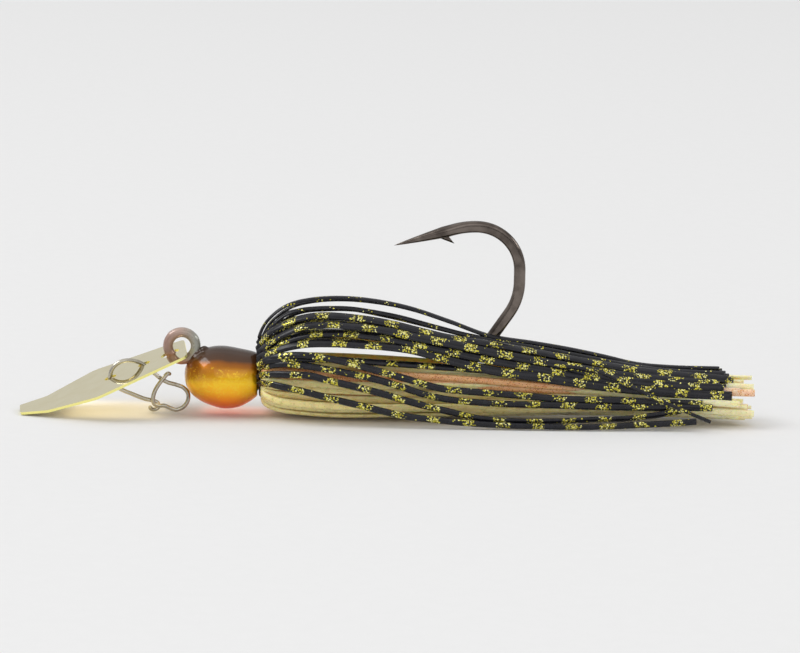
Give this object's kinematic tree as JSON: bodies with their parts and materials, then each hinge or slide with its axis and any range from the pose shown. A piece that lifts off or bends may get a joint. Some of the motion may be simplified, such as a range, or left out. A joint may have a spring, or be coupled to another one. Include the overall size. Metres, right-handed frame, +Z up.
{
  "type": "bladed jig",
  "caption": "Skirted bladed jig: lacquered lead head on an upturned hook, a coffin blade hung on the hook's eye with a wire line snap, and a silicone skirt.",
  "frame": {"origin": "middle of the bounding box, on the surface that the lure lies on", "axes": "+X from the blade's tip to the skirt's tail, +Z up with the hook's point above the shank, +Y away from the side that the picture shows"},
  "size_m": [0.1106, 0.0186, 0.0301],
  "materials": {
    "black_nickel": "polished black nickel plate",
    "lacquered_lead": "glossy clear coat over a brown, amber and orange fade",
    "gold_plate": "mirror polished gold plate",
    "steel_wire": "drawn and tinned steel wire",
    "collar_rubber": "matt black rubber",
    "skirt_black": "satin silicone with gold glitter patches",
    "skirt_gold": "translucent silicone with fine gold glitter",
    "skirt_orange": "translucent silicone with fine flake"
  },
  "bodies": {
    "lure": {"head_casting": "lacquered_lead", "hook": "black_nickel", "skirt_collar": "collar_rubber", "strand_black_01": "skirt_black", "strand_black_02": "skirt_black", "strand_black_03": "skirt_black", "strand_black_04": "skirt_black", "strand_black_05": "skirt_black", "strand_black_06": "skirt_black", "strand_black_07": "skirt_black", "strand_black_08": "skirt_black", "strand_black_09": "skirt_black", "strand_black_10": "skirt_black", "strand_black_11": "skirt_black", "strand_black_12": "skirt_black", "strand_black_13": "skirt_black", "strand_black_14": "skirt_black", "strand_black_15": "skirt_black", "strand_black_16": "skirt_black", "strand_black_17": "skirt_black", "strand_black_18": "skirt_black", "strand_black_19": "skirt_black", "strand_black_20": "skirt_black", "strand_black_21": "skirt_black", "strand_black_22": "skirt_black", "strand_gold_01": "skirt_gold", "strand_gold_02": "skirt_gold", "strand_gold_03": "skirt_gold", "strand_gold_04": "skirt_gold", "strand_gold_05": "skirt_gold", "strand_gold_06": "skirt_gold", "strand_gold_07": "skirt_gold", "strand_gold_08": "skirt_gold", "strand_gold_09": "skirt_gold", "strand_gold_10": "skirt_gold", "strand_gold_11": "skirt_gold", "strand_gold_12": "skirt_gold", "strand_gold_13": "skirt_gold", "strand_gold_14": "skirt_gold", "strand_gold_15": "skirt_gold", "strand_gold_16": "skirt_gold", "strand_gold_17": "skirt_gold", "strand_orange_01": "skirt_orange", "strand_orange_02": "skirt_orange", "strand_orange_03": "skirt_orange"},
    "blade": {"blade": "gold_plate"},
    "snap": {"line_snap": "steel_wire"}
  },
  "joints": [
    {"name": "blade_swing", "type": "hinge", "parent": "lure", "child": "blade", "pos_m": [-0.03102, 0, 0.01035], "axis": [0, 1, 0], "range_deg": [0, 140]},
    {"name": "snap_swing", "type": "hinge", "parent": "blade", "child": "snap", "pos_m": [-0.03909, -0.00045, 0.00629], "axis": [0.9202, 0.064, 0.3861], "range_deg": [-30, 30]}
  ]
}
